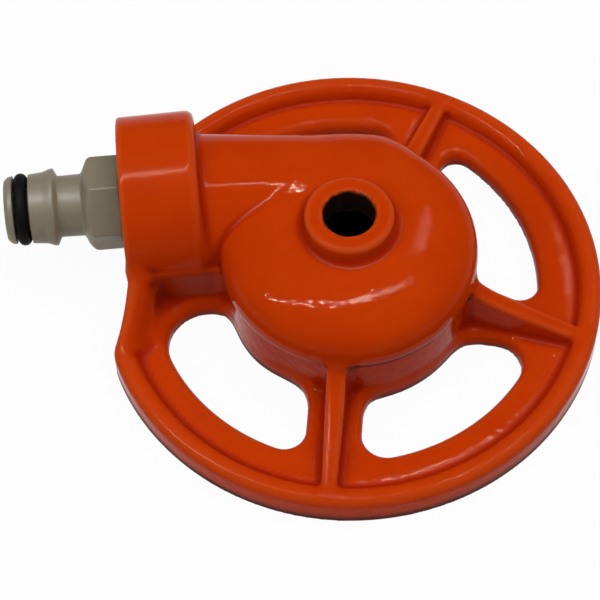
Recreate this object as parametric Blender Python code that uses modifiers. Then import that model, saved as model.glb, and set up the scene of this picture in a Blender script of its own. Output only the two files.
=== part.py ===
"""Stationary whirl sprinkler: a cast metal ring base with a domed whirl chamber, fed from the side
through a threaded collar that holds a plastic quick connector.

Water enters the chamber along its far wall, turns round in it and leaves through the hole in the boss.
Metres, +Z up. The origin lies on the ground, in the middle of the whole object's length, with Y = 0 through
the hub. The hose comes from -X.
"""

import math

import bmesh
import bpy
from mathutils import Matrix, Vector

MM = 0.001

# Gap between two pieces that touch
SEAT_GAP = 0.3 * MM

# Ring base
RING_RADIUS = 57.5 * MM
RIM_WIDTH = 5.0 * MM
RIM_HEIGHT = 8.5 * MM
RIM_ROUNDING = 2.0 * MM
WEB_HEIGHT = 5.8 * MM
WEB_UNDERSIDE = 1.2 * MM
WEB_ROUNDING = 2.4 * MM
WINDOW_RADIUS = 44.2 * MM
WINDOW_CORNER = 5.0 * MM
WINDOW_HUB_CORNER = 4.5 * MM
WINDOW_HUB_INSET = 0.3 * MM

# Where the ring is drawn in beside the collar, as places in plan seen from the hub, and its flatter left half
DRAWN_IN_FROM = (-54.45 * MM, -13.5 * MM)
DRAWN_IN_TO = (-48.8 * MM, 9.5 * MM)
DRAWN_IN_BEND = 2.2
KNUCKLE_ROUNDING = 0.5 * MM
LEFT_SQUEEZE = 0.984

# The ramp by which the rim climbs to the collar
RAMP_START = -13.5 * MM
RAMP_FOOT = -20.0 * MM
RAMP_END = 8.0 * MM
RAMP_SLOPE = 0.86
RAMP_BEND = 2.5 * MM
RAMP_RISE = 11.5 * MM
RAMP_SPREAD = 1.5 * MM

# Spokes, named by their direction in degrees from +X
SPOKE_ANGLES = (-99.5, -19.5, 60.5)
SPOKE_HALF_WIDTH = 5.4 * MM
FIRST_SPOKE_HALF_WIDTH = 6.6 * MM
RIB_ANGLES = (-99.5, -21.4, 60.5)
RIB_ASIDE = (0.75 * MM, 0.0, 0.0)
RIB_HUB_HEIGHTS = (17.0 * MM, 17.0 * MM, 12.5 * MM)
RIB_HUB_HALF_WIDTH = 2.4 * MM
RIB_RIM_HALF_WIDTH = 1.9 * MM
RIB_RIM_HEIGHT = 8.1 * MM
RIB_ROUNDING = 0.9 * MM
RIB_HUB_SINK = 1.2 * MM
RIB_RIM_SINK = 2.0 * MM
RIB_FOOT_SINK = 0.2 * MM
INLET_WEB_EDGE = 2.3 * MM
FAR_WEB_ANGLE = 146.0

# Hub and dome
HUB_RADIUS = 27.4 * MM
DOME_RADIUS = 28.8 * MM
DOME_EDGE_HEIGHT = 16.2 * MM
DOME_WIDEST_HEIGHT = 18.5 * MM
DOME_TOP_HEIGHT = 30.8 * MM
DOME_SQUARENESS = 3.0
DOME_CROWN_DROP = 0.15 * MM
DOME_UNDERCUT_MIDDLE = (0.3 * MM, 0.9 * MM)
BOSS_RADIUS = 9.9 * MM
BOSS_TOP_HEIGHT = 35.0 * MM
BOSS_EDGE = 0.8 * MM
BOSS_FILLET = 1.6 * MM
NOZZLE_RADIUS = 5.7 * MM
NOZZLE_LIP = 0.4 * MM

# Whirl chamber and the plug's seat under it
CHAMBER_WALL = 2.9 * MM
CHAMBER_WALL_TOP = 16.0 * MM
CHAMBER_CEILING = 27.0 * MM
PLUG_LEDGE = 1.1 * MM
PLUG_TOP_HEIGHT = 4.0 * MM
PLUG_RECESS = 1.0 * MM
PLUG_THICKNESS = 1.2 * MM
PLUG_CORNER = 1.6 * MM

# Inlet collar with its thread bore
INLET_OFFSET = 19.05 * MM
INLET_HEIGHT = 18.55 * MM
COLLAR_REACH = 49.9 * MM
COLLAR_RADIUS = 19.45 * MM
COLLAR_DRAFT = 0.35 * MM
COLLAR_LENGTH = 17.6 * MM
COLLAR_SHOULDER = 2.0 * MM
COLLAR_MOUTH_EDGE = 0.6 * MM
THREAD_RADIUS = 13.3 * MM
THREAD_DEPTH = 12.0 * MM
THREAD_LEAD_IN = 0.8 * MM

# Barrel between the collar and the dome, and the duct inside it
BARREL_RADIUS = 16.0 * MM
BARREL_ASIDE = 2.45 * MM
BARREL_DROP = 1.95 * MM
BARREL_ROOT_RADIUS = 17.0 * MM
BARREL_ROOT_ASIDE = 1.0 * MM
BARREL_ROOT_DROP = 0.6 * MM
BARREL_ROOT_DEPTH = 5.0 * MM
BARREL_ROOT_LENGTH = 5.5 * MM
BARREL_LAP = 0.4 * MM
BARREL_END_RADIUS = 13.7 * MM
BARREL_END_ASIDE = 3.75 * MM
BARREL_END_BEYOND_HUB = 6.0 * MM
BARREL_FAR_WIDTH = 1.4 * MM
BARREL_FAR_UNDERSIDE = 8.0 * MM
DUCT_RADIUS = 8.75 * MM
DUCT_LAP = 1.0 * MM
DUCT_WALL_GAP = 0.55 * MM

# The upright wall that fills the space between the ground and the inlet, in plan seen from the hub
FILL_OUTLINE = (
    (-47.8 * MM, 0.4 * MM),
    (-8.0 * MM, 0.4 * MM),
    (-8.0 * MM, 25.0 * MM),
    (-20.0 * MM, 27.5 * MM),
    (-30.0 * MM, 28.0 * MM),
    (-34.0 * MM, 34.3 * MM),
    (-47.8 * MM, 34.3 * MM),
)
FILL_TOP_DROP = 2.0 * MM

# Rubber washer at the bottom of the thread bore
WASHER_THICKNESS = 2.2 * MM
WASHER_BORE = 8.0 * MM

# Hose connector
HEX_ACROSS_FLATS = 19.0 * MM
HEX_LENGTH = 6.9 * MM
HEX_TURN = math.radians(-16.75)
HEX_SHOULDER = 1.85 * MM
HEX_CHAMFER = 1.6 * MM
HEX_FOOT_CHAMFER = 0.9 * MM
HEX_CONE_SHARE = 0.62
NECK_RADIUS = 6.9 * MM
NECK_ROOT_RADIUS = 7.05 * MM
NECK_LENGTH = 5.35 * MM
CATCH_RADIUS = 8.75 * MM
CATCH_FLANK = 0.9 * MM
CATCH_CREST = 0.5 * MM
CATCH_SLOPE = 1.8 * MM
BODY_RADIUS = 8.15 * MM
NIPPLE_RADIUS = 7.85 * MM
NIPPLE_LENGTH = 3.3 * MM
TIP_LENGTH = 2.2 * MM
TIP_EDGE = 0.7 * MM
TIP_DRAFT = 0.1 * MM
STUB_RELIEF = 3.6 * MM
STUB_RELIEF_LENGTH = 1.0 * MM
STUB_START_STEP = 1.2 * MM
STUB_START_LENGTH = 2.2 * MM
STUB_CHAMFER = 0.8 * MM
CONNECTOR_BORE = 4.2 * MM
STUB_BORE = 9.0 * MM
STUB_BORE_DEPTH = 7.5 * MM
STUB_BORE_CONE = 5.0 * MM
O_RING_SECTION = 3.0 * MM
O_RING_OUTER_RADIUS = 8.2 * MM

# How far a tool that cuts reaches past what it cuts
OVERRUN = 2.0 * MM

# Facets on a full turn
RING_STEPS = 96
HUB_STEPS = 60
CHAMBER_STEPS = 48
COLLAR_STEPS = 44
NIPPLE_STEPS = 36
CORNER_STEPS = 5

# Places worked out from the sizes
CHAMBER_RADIUS = HUB_RADIUS - CHAMBER_WALL
PLUG_SEAT_RADIUS = CHAMBER_RADIUS + PLUG_LEDGE
COLLAR_INNER_REACH = COLLAR_REACH - COLLAR_LENGTH
BARREL_OFFSET = INLET_OFFSET - BARREL_ASIDE
BARREL_HEIGHT = INLET_HEIGHT - BARREL_DROP
BARREL_END_OFFSET = INLET_OFFSET - BARREL_END_ASIDE
DUCT_END_OFFSET = CHAMBER_RADIUS - DUCT_RADIUS - DUCT_WALL_GAP
BORE_BOTTOM_REACH = COLLAR_REACH - THREAD_DEPTH
WASHER_REACH = BORE_BOTTOM_REACH + SEAT_GAP + WASHER_THICKNESS / 2
STUB_REACH = BORE_BOTTOM_REACH + WASHER_THICKNESS + 2 * SEAT_GAP
STUB_RADIUS = THREAD_RADIUS - SEAT_GAP
HEX_REACH = COLLAR_REACH + SEAT_GAP
STUB_LENGTH = HEX_REACH - STUB_REACH
O_RING_CENTRE_RADIUS = O_RING_OUTER_RADIUS - O_RING_SECTION / 2
GROOVE_RADIUS = O_RING_CENTRE_RADIUS - O_RING_SECTION / 2 - SEAT_GAP
GROOVE_LENGTH = O_RING_SECTION + 2 * SEAT_GAP
HEX_END = HEX_LENGTH
SHOULDER_END = HEX_END + HEX_SHOULDER
NECK_END = SHOULDER_END + NECK_LENGTH
CATCH_START = NECK_END + CATCH_FLANK
CATCH_END = CATCH_START + CATCH_CREST
BODY_START = CATCH_END + CATCH_SLOPE
GROOVE_START = BODY_START + NIPPLE_LENGTH
TIP_START = GROOVE_START + GROOVE_LENGTH
TIP_END = TIP_START + TIP_LENGTH
HUB_X = (HEX_REACH + TIP_END - RING_RADIUS) / 2


def clear_scene():
    for obj in list(bpy.data.objects):
        bpy.data.objects.remove(obj, do_unlink=True)


def new_collection(name):
    made = bpy.data.collections.new(name)
    bpy.context.scene.collection.children.link(made)
    return made


def new_material(name, colour, roughness, metallic=0.0):
    made = bpy.data.materials.new(name)
    made.use_nodes = True
    shader = made.node_tree.nodes["Principled BSDF"]
    shader.inputs["Base Color"].default_value = (*colour, 1.0)
    shader.inputs["Roughness"].default_value = roughness
    shader.inputs["Metallic"].default_value = metallic
    return made


def add_object(name, mesh, collection):
    made = bpy.data.objects.new(name, mesh)
    collection.objects.link(made)
    return made


def smooth(obj):
    obj.data.shade_smooth()
    obj.data.set_sharp_from_angle(angle=math.radians(35))


def arc(centre, radius, start, end, steps):
    """Points on an arc in a plane, from start to end in radians."""
    angles = (start + (end - start) * i / steps for i in range(steps + 1))
    return [(centre[0] + radius * math.cos(a), centre[1] + radius * math.sin(a)) for a in angles]


def shell_curve(radius, base, rise, exponent, steps):
    """Points on a squared-off quarter oval, from the top at the axis to the base at this radius."""
    points = []
    for i in range(1, steps + 1):
        turn = math.pi / 2 * i / steps
        out = math.sin(turn) ** (2 / exponent)
        up = max(math.cos(turn), 0.0) ** (2 / exponent)
        points.append((radius * out, base + rise * up))
    return points


def turned(name, profile, steps, collection, closed=False):
    """A body turned round Z. The profile is (radius, height), down its outer side."""
    mesh = bpy.data.meshes.new(name)
    count = len(profile)
    edges = [(i, (i + 1) % count) for i in range(count if closed else count - 1)]
    mesh.from_pydata([(r, 0.0, z) for r, z in profile], edges, [])
    obj = add_object(name, mesh, collection)
    screw = obj.modifiers.new("Turn", "SCREW")
    screw.steps = steps
    screw.render_steps = steps
    screw.use_merge_vertices = True
    screw.merge_threshold = 0.00001
    return obj


def closed_curve(name, outlines, collection):
    """A flat curve object with one closed line for each outline of (x, y) points."""
    curve = bpy.data.curves.new(name, "CURVE")
    curve.dimensions = "2D"
    for outline in outlines:
        spline = curve.splines.new("POLY")
        spline.points.add(len(outline) - 1)
        for point, (x, y) in zip(spline.points, outline):
            point.co = (x, y, 0.0, 1.0)
        spline.use_cyclic_u = True
    return add_object(name + "_line", curve, collection)


def mesh_of_curve(name, guide, collection):
    """The solid that a curve object makes, as a mesh object. The curve is removed."""
    bpy.context.view_layer.update()
    graph = bpy.context.evaluated_depsgraph_get()
    mesh = bpy.data.meshes.new_from_object(guide.evaluated_get(graph))
    mesh.transform(guide.matrix_world)
    bpy.data.objects.remove(guide, do_unlink=True)
    shape = bmesh.new()
    shape.from_mesh(mesh)
    bmesh.ops.remove_doubles(shape, verts=shape.verts, dist=0.000001)
    bmesh.ops.recalc_face_normals(shape, faces=shape.faces)
    shape.to_mesh(mesh)
    shape.free()
    return add_object(name, mesh, collection)


def flat_solid(name, outlines, bottom, top, collection):
    """A flat plate from outlines of (x, y) points, between two heights."""
    guide = closed_curve(name, outlines, collection)
    guide.data.fill_mode = "BOTH"
    guide.data.extrude = (top - bottom) / 2
    guide.location.z = (top + bottom) / 2
    return mesh_of_curve(name, guide, collection)


def swept(name, outline, section, collection):
    """A section of (outwards, up) points carried round a closed outline."""
    guide = closed_curve(name, [outline], collection)
    shape = closed_curve(name + "_section", [section], collection)
    guide.data.fill_mode = "NONE"
    guide.data.bevel_mode = "OBJECT"
    guide.data.bevel_object = shape
    made = mesh_of_curve(name, guide, collection)
    bpy.data.objects.remove(shape, do_unlink=True)
    return made


def lofted(name, outlines, heights, collection):
    """A solid through several outlines with equally many points, from the lowest up."""
    count = len(outlines[0])
    points = [(x, y, z) for outline, z in zip(outlines, heights) for x, y in outline]
    faces = [tuple(reversed(range(count)))]
    for level in range(len(outlines) - 1):
        low = level * count
        for i in range(count):
            after = (i + 1) % count
            faces.append((low + i, low + after, low + count + after, low + count + i))
    last = (len(outlines) - 1) * count
    faces.append(tuple(range(last, last + count)))
    mesh = bpy.data.meshes.new(name)
    mesh.from_pydata(points, [], faces)
    return add_object(name, mesh, collection)


def tapered_tube(name, start, end, start_radius, end_radius, steps, collection):
    """A solid cone frustum between two points."""
    start, end = Vector(start), Vector(end)
    length = (end - start).length
    shape = bmesh.new()
    bmesh.ops.create_cone(
        shape, cap_ends=True, segments=steps, radius1=start_radius, radius2=end_radius, depth=length
    )
    turn = (end - start).to_track_quat("Z", "Y").to_matrix().to_4x4()
    shape.transform(Matrix.Translation((start + end) / 2) @ turn)
    mesh = bpy.data.meshes.new(name)
    shape.to_mesh(mesh)
    shape.free()
    return add_object(name, mesh, collection)


def combine(target, other, operation, solver="EXACT"):
    modifier = target.modifiers.new(f"{operation.title()} {other.name}", "BOOLEAN")
    modifier.operation = operation
    modifier.object = other
    modifier.solver = solver
    other.hide_render = True
    other.display_type = "WIRE"


def lay_along_inlet(obj, reach):
    """Turns a body made round Z so that its +Z points out of the inlet, with its origin at this reach."""
    place = Matrix.Translation((HUB_X - reach, INLET_OFFSET, INLET_HEIGHT))
    obj.matrix_world = place @ Matrix.Rotation(-math.pi / 2, 4, "Y")


def ring_outline(inset):
    """The ring in plan, moved inwards by this much: round, drawn in beside the collar and cut off under it."""
    outline = []
    (from_x, from_y), (to_x, to_y) = DRAWN_IN_FROM, DRAWN_IN_TO
    for i in range(RING_STEPS):
        turn = 2 * math.pi * i / RING_STEPS
        x, y = RING_RADIUS * math.cos(turn), RING_RADIUS * math.sin(turn)
        if x < 0:
            x *= LEFT_SQUEEZE
            left = max(1 - (y - from_y) / (to_y - from_y), 0.0) ** DRAWN_IN_BEND
            line = to_x - (to_x - from_x) * left
            x = (x + line + math.hypot(x - line, 2 * KNUCKLE_ROUNDING)) / 2
        outline.append(Vector((x, y)))
    moved = []
    for i, point in enumerate(outline):
        along = (outline[(i + 1) % RING_STEPS] - outline[i - 1]).normalized()
        moved.append((HUB_X + point.x - along.y * inset, point.y + along.x * inset))
    return moved


def window_outline(start, end, start_half, end_half, flare):
    """A window between two spoke lines, given as angles and half widths, with four rounded corners.

    Its inner side lies just inside the hub's wall. It is widened all round by the flare.
    """
    outer_side = WINDOW_RADIUS + flare
    inner_side = HUB_RADIUS - WINDOW_HUB_INSET - flare
    outer_corner = WINDOW_CORNER + flare
    hub_corner = WINDOW_HUB_CORNER + flare
    start_side = start_half - flare
    end_side = end_half - flare
    outer = outer_side - outer_corner
    inner = inner_side + hub_corner
    quarter = math.pi / 2

    def corner(radius, angle, corner_radius, arc_start, arc_end):
        centre = (radius * math.cos(angle), radius * math.sin(angle))
        return arc(centre, corner_radius, arc_start, arc_end, CORNER_STEPS)

    outer_start = start + math.asin((start_side + outer_corner) / outer)
    outer_end = end - math.asin((end_side + outer_corner) / outer)
    inner_start = start + math.asin((start_side + hub_corner) / inner)
    inner_end = end - math.asin((end_side + hub_corner) / inner)
    steps = max(2, round((outer_end - outer_start) / (2 * math.pi / RING_STEPS)))
    points = corner(outer, outer_start, outer_corner, start - quarter, outer_start)
    points += arc((0, 0), outer_side, outer_start, outer_end, steps)[1:-1]
    points += corner(outer, outer_end, outer_corner, outer_end, end + quarter)
    points += corner(inner, inner_end, hub_corner, end + quarter, inner_end + math.pi)
    points += arc((0, 0), inner_side, inner_end, inner_start, max(2, steps // 2))[1:-1]
    points += corner(inner, inner_start, hub_corner, inner_start - math.pi, start - quarter)
    return [(HUB_X + x, y) for x, y in points]


def make_windows(collection):
    """Four windows: between the spokes, and between the outer spokes and the web that carries the inlet.

    Each is upright at the bottom and flares out at the top, so that the web's edge is rounded.
    """
    first, second, third = (math.radians(a) for a in SPOKE_ANGLES)
    wide = SPOKE_HALF_WIDTH
    windows = [
        (-math.pi, first, INLET_WEB_EDGE, FIRST_SPOKE_HALF_WIDTH),
        (first, second, wide, wide),
        (second, third, wide, wide),
        (third, math.radians(FAR_WEB_ANGLE), wide, 0.0),
    ]
    levels = [(0.0, WEB_UNDERSIDE - OVERRUN / 2)]
    for i in range(4):
        turn = math.pi / 2 * i / 3
        flare = WEB_ROUNDING * (1 - math.cos(turn))
        levels.append((flare, WEB_HEIGHT - WEB_ROUNDING * (1 - math.sin(turn))))
    levels.append((WEB_ROUNDING, WEB_HEIGHT + OVERRUN / 2))
    heights = [height for _, height in levels]
    made = []
    for i, window in enumerate(windows):
        outlines = [window_outline(*window, flare) for flare, _ in levels]
        made.append(lofted(f"window_space_{i}", outlines, heights, collection))
    return made


def rim_section():
    """The rim cut through: upright sides with well rounded edges on top."""
    half = RIM_WIDTH / 2
    right = arc((half - RIM_ROUNDING, RIM_HEIGHT - RIM_ROUNDING), RIM_ROUNDING, 0, math.pi / 2, 3)
    left = arc((RIM_ROUNDING - half, RIM_HEIGHT - RIM_ROUNDING), RIM_ROUNDING, math.pi / 2, math.pi, 3)
    return [(half, 0.0), *right, *left, (-half, 0.0)]


def make_ramp(collection):
    """The rim's climb to the collar: one section after another along the ring's outline."""
    slope_foot = RIM_WIDTH + RAMP_SPREAD
    insets = (0.0, 0.0, 0.6 * MM, 2.0 * MM, 3.2 * MM, slope_foot, slope_foot)
    outlines = [ring_outline(inset) for inset in insets]
    sections = []
    for i, (_, y) in enumerate(outlines[0]):
        if outlines[0][i][0] > HUB_X - RING_RADIUS / 2 or not RAMP_FOOT < y < RAMP_END:
            continue
        climb = (y - RAMP_START + math.hypot(y - RAMP_START, RAMP_BEND)) / 2 * RAMP_SLOPE
        top = RIM_HEIGHT - SEAT_GAP + min(climb, RAMP_RISE)
        foot = WEB_HEIGHT - SEAT_GAP
        under = WEB_UNDERSIDE + SEAT_GAP
        drops = (under, top - 2.0 * MM, top - 0.6 * MM, top, top - 0.4 * MM, foot, under)
        sections.append([(*outline[i], height) for outline, height in zip(outlines, drops)])
    count = len(insets)
    faces = [tuple(range(count)), tuple(range((len(sections) - 1) * count, len(sections) * count))]
    for low in range(0, (len(sections) - 1) * count, count):
        for i in range(count):
            after = (i + 1) % count
            faces.append((low + i, low + after, low + count + after, low + count + i))
    shape = bmesh.new()
    verts = [shape.verts.new(point) for section in sections for point in section]
    for face in faces:
        shape.faces.new([verts[i] for i in face])
    bmesh.ops.triangulate(shape, faces=shape.faces)
    bmesh.ops.recalc_face_normals(shape, faces=shape.faces)
    mesh = bpy.data.meshes.new("ramp")
    shape.to_mesh(mesh)
    shape.free()
    return add_object("ramp", mesh, collection)


def make_rib(index, collection):
    """An upright rib, narrower at the rim: its side view is drawn flat, then stood up along its spoke."""
    inner = HUB_RADIUS - RIB_HUB_SINK
    outer = RING_RADIUS - RIM_WIDTH + RIB_RIM_SINK
    foot = WEB_UNDERSIDE - RIB_FOOT_SINK
    outline = [(inner, foot), (outer, foot), (outer, RIB_RIM_HEIGHT), (inner, RIB_HUB_HEIGHTS[index])]
    rib = flat_solid(f"rib_{index}", [outline], -RIB_HUB_HALF_WIDTH, RIB_HUB_HALF_WIDTH, collection)
    for vertex in rib.data.vertices:
        share = (vertex.co.x - inner) / (outer - inner)
        vertex.co.z *= 1 + (RIB_RIM_HALF_WIDTH / RIB_HUB_HALF_WIDTH - 1) * share
        vertex.co.z += RIB_ASIDE[index]
    stand = Matrix.Rotation(math.pi / 2, 4, "X")
    turn = Matrix.Rotation(math.radians(RIB_ANGLES[index]), 4, "Z")
    rib.data.transform(Matrix.Translation((HUB_X, 0, 0)) @ turn @ stand)
    bevel = rib.modifiers.new("Rounded edges", "BEVEL")
    bevel.width = RIB_ROUNDING
    bevel.segments = 2
    bevel.limit_method = "ANGLE"
    bevel.angle_limit = math.radians(50)
    return rib


def dome_profile():
    """The outside of the hub, dome and boss, from the middle of the boss down to the ground."""
    edge_centre = (BOSS_RADIUS - BOSS_EDGE, BOSS_TOP_HEIGHT - BOSS_EDGE)
    boss_edge = arc(edge_centre, BOSS_EDGE, math.pi / 2, 0, 2)
    rise = DOME_TOP_HEIGHT - DOME_WIDEST_HEIGHT
    dome = shell_curve(DOME_RADIUS, DOME_WIDEST_HEIGHT, rise, DOME_SQUARENESS, 10)
    dome = [point for point in dome if point[0] > BOSS_RADIUS + BOSS_FILLET]
    foot_centre = (BOSS_RADIUS + BOSS_FILLET, DOME_TOP_HEIGHT - DOME_CROWN_DROP + BOSS_FILLET)
    foot = arc(foot_centre, BOSS_FILLET, math.pi, 1.5 * math.pi, 3)
    inwards, up = DOME_UNDERCUT_MIDDLE
    under_middle = (DOME_RADIUS - inwards, DOME_EDGE_HEIGHT + up)
    side = [under_middle, (HUB_RADIUS, DOME_EDGE_HEIGHT), (HUB_RADIUS, 0.0), (0.0, 0.0)]
    return [(0.0, BOSS_TOP_HEIGHT), *boss_edge, *foot, *dome, *side]


def chamber_profile():
    """The water's space: the nozzle bore, the chamber and the plug's seat, open below the ground."""
    over = BOSS_TOP_HEIGHT + OVERRUN
    under = -OVERRUN
    seat = PLUG_TOP_HEIGHT + SEAT_GAP
    rise = CHAMBER_CEILING - CHAMBER_WALL_TOP
    ceiling = shell_curve(CHAMBER_RADIUS, CHAMBER_WALL_TOP, rise, DOME_SQUARENESS, 8)
    ceiling = [point for point in ceiling if point[0] > NOZZLE_RADIUS + OVERRUN / 2]
    return [
        (0.0, over),
        (NOZZLE_RADIUS + NOZZLE_LIP + OVERRUN, over),
        (NOZZLE_RADIUS, BOSS_TOP_HEIGHT - NOZZLE_LIP),
        (NOZZLE_RADIUS, CHAMBER_CEILING),
        *ceiling,
        (CHAMBER_RADIUS, seat),
        (PLUG_SEAT_RADIUS, seat),
        (PLUG_SEAT_RADIUS, under),
        (0.0, under),
    ]


def collar_profile():
    """The collar's outside, from its mouth at the top down to its inner end."""
    mouth = COLLAR_RADIUS - COLLAR_DRAFT
    shoulder_centre = (COLLAR_RADIUS - COLLAR_SHOULDER, COLLAR_SHOULDER - COLLAR_LENGTH)
    shoulder = arc(shoulder_centre, COLLAR_SHOULDER, 0, -math.pi / 2, 4)
    start = [(0.0, 0.0), (mouth - COLLAR_MOUTH_EDGE, 0.0), (mouth, -COLLAR_MOUTH_EDGE)]
    return [*start, *shoulder, (0.0, -COLLAR_LENGTH)]


def thread_bore_profile():
    return [
        (0.0, OVERRUN),
        (THREAD_RADIUS + THREAD_LEAD_IN + OVERRUN, OVERRUN),
        (THREAD_RADIUS, -THREAD_LEAD_IN),
        (THREAD_RADIUS, -THREAD_DEPTH),
        (0.0, -THREAD_DEPTH),
    ]


def make_ball(name, centre, radius, steps, collection):
    shape = bmesh.new()
    bmesh.ops.create_uvsphere(shape, u_segments=steps, v_segments=steps // 2, radius=radius)
    shape.transform(Matrix.Translation(centre))
    mesh = bpy.data.meshes.new(name)
    shape.to_mesh(mesh)
    shape.free()
    return add_object(name, mesh, collection)


def cut_below(obj, height, collection):
    """Cuts everything off an inlet shape below this height."""
    over = COLLAR_REACH + OVERRUN
    square = [(-over, -over), (over, -over), (over, over), (-over, over)]
    below = flat_solid(obj.name + "_ground", [square], -over, height, collection)
    combine(obj, below, "DIFFERENCE", "MANIFOLD")


def make_barrel(collection):
    """The barrel, tapering from the collar into the dome and ending round, and its root inside the collar.

    Its far side is a little wider above the ring's windows.
    """
    root_x = HUB_X - COLLAR_INNER_REACH - BARREL_ROOT_DEPTH
    start_x = root_x + BARREL_ROOT_LENGTH
    end_x = HUB_X + BARREL_END_BEYOND_HUB
    root = (root_x, INLET_OFFSET - BARREL_ROOT_ASIDE, INLET_HEIGHT - BARREL_ROOT_DROP)
    start = (start_x, BARREL_OFFSET, BARREL_HEIGHT)
    made = [tapered_tube("barrel_root", root, start, BARREL_ROOT_RADIUS, BARREL_RADIUS, COLLAR_STEPS, collection)]
    sides = (("barrel", 0.0, WEB_UNDERSIDE), ("barrel_far", BARREL_FAR_WIDTH, BARREL_FAR_UNDERSIDE))
    for name, aside, underside in sides:
        before = (start_x - BARREL_LAP, BARREL_OFFSET + aside, BARREL_HEIGHT)
        end = (end_x, BARREL_END_OFFSET + aside, BARREL_HEIGHT)
        tube = tapered_tube(name, before, end, BARREL_RADIUS, BARREL_END_RADIUS, COLLAR_STEPS, collection)
        ball = make_ball(name + "_end", end, BARREL_END_RADIUS, COLLAR_STEPS, collection)
        combine(tube, ball, "UNION", "MANIFOLD")
        cut_below(tube, underside, collection)
        made.append(tube)
    return made


def make_collar(collection):
    """The turned collar, cut off level with the web's underside."""
    collar = turned("collar", collar_profile(), COLLAR_STEPS, collection)
    lay_along_inlet(collar, COLLAR_REACH)
    cut_below(collar, WEB_UNDERSIDE, collection)
    return collar


def make_cast_body(parts, cutters, paint):
    """Ring, web, ribs, hub, barrel and collar as one casting, hollowed for the water."""
    body = turned("cast_body", dome_profile(), HUB_STEPS, parts)
    body.location.x = HUB_X
    body.data.materials.append(paint)

    web = flat_solid("web", [ring_outline(RIM_WIDTH / 2)], WEB_UNDERSIDE, WEB_HEIGHT, cutters)
    for window in make_windows(cutters):
        combine(web, window, "DIFFERENCE", "MANIFOLD")
    rim = swept("rim", ring_outline(RIM_WIDTH / 2), rim_section(), cutters)
    added = [web, rim, make_ramp(cutters)]
    added += [make_rib(i, cutters) for i in range(len(RIB_ANGLES))]
    fill_outline = [(HUB_X + x, y) for x, y in FILL_OUTLINE]
    fill_top = INLET_HEIGHT - FILL_TOP_DROP
    added.append(flat_solid("inlet_fill", [fill_outline], WEB_UNDERSIDE, fill_top, cutters))
    added += make_barrel(cutters)
    added.append(make_collar(cutters))
    for shape in added:
        combine(body, shape, "UNION", "MANIFOLD")

    chamber = turned("chamber_space", chamber_profile(), CHAMBER_STEPS, cutters)
    chamber.location.x = HUB_X
    thread_bore = turned("thread_bore_space", thread_bore_profile(), COLLAR_STEPS, cutters)
    lay_along_inlet(thread_bore, COLLAR_REACH)
    duct_start = (HUB_X - BORE_BOTTOM_REACH - DUCT_LAP, INLET_OFFSET, INLET_HEIGHT)
    duct_end = (HUB_X, DUCT_END_OFFSET, BARREL_HEIGHT)
    duct = tapered_tube("duct_space", duct_start, duct_end, DUCT_RADIUS, DUCT_RADIUS, NIPPLE_STEPS, cutters)
    for space in (chamber, thread_bore, duct):
        combine(body, space, "DIFFERENCE", "MANIFOLD")
    smooth(body)


def make_base_plug(parts, steel):
    """A pressed cup that closes the chamber from below, open side down."""
    outer = PLUG_SEAT_RADIUS - SEAT_GAP
    centre = (outer - PLUG_CORNER, PLUG_TOP_HEIGHT - PLUG_CORNER)
    inner_corner = PLUG_CORNER - PLUG_THICKNESS
    profile = [
        (0.0, PLUG_TOP_HEIGHT),
        *arc(centre, PLUG_CORNER, math.pi / 2, 0, 3),
        (outer, PLUG_RECESS),
        (outer - PLUG_THICKNESS, PLUG_RECESS),
        *arc(centre, inner_corner, 0, math.pi / 2, 2),
        (0.0, PLUG_TOP_HEIGHT - PLUG_THICKNESS),
    ]
    plug = turned("base_plug", profile, CHAMBER_STEPS, parts)
    plug.location.x = HUB_X
    plug.data.materials.append(steel)
    smooth(plug)


def make_washer(parts, rubber):
    outer = THREAD_RADIUS - SEAT_GAP
    half = WASHER_THICKNESS / 2
    profile = [(outer, half), (outer, -half), (WASHER_BORE, -half), (WASHER_BORE, half)]
    washer = turned("inlet_washer", profile, COLLAR_STEPS, parts, closed=True)
    lay_along_inlet(washer, WASHER_REACH)
    washer.data.materials.append(rubber)
    smooth(washer)


def nipple_profile():
    """The connector's outside as (radius, reach beyond the hexagon's foot), from the tip down to the hexagon."""
    return [
        (0.0, TIP_END),
        (NIPPLE_RADIUS - 2 * TIP_DRAFT - TIP_EDGE, TIP_END),
        (NIPPLE_RADIUS - 2 * TIP_DRAFT, TIP_END - TIP_EDGE),
        (NIPPLE_RADIUS - TIP_DRAFT, TIP_START),
        (GROOVE_RADIUS, TIP_START),
        (GROOVE_RADIUS, GROOVE_START),
        (NIPPLE_RADIUS, GROOVE_START),
        (BODY_RADIUS, BODY_START),
        (CATCH_RADIUS, CATCH_END),
        (CATCH_RADIUS, CATCH_START),
        (NECK_RADIUS, NECK_END),
        (NECK_ROOT_RADIUS, SHOULDER_END),
        (NECK_ROOT_RADIUS, HEX_END / 2),
        (0.0, HEX_END / 2),
    ]


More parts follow.
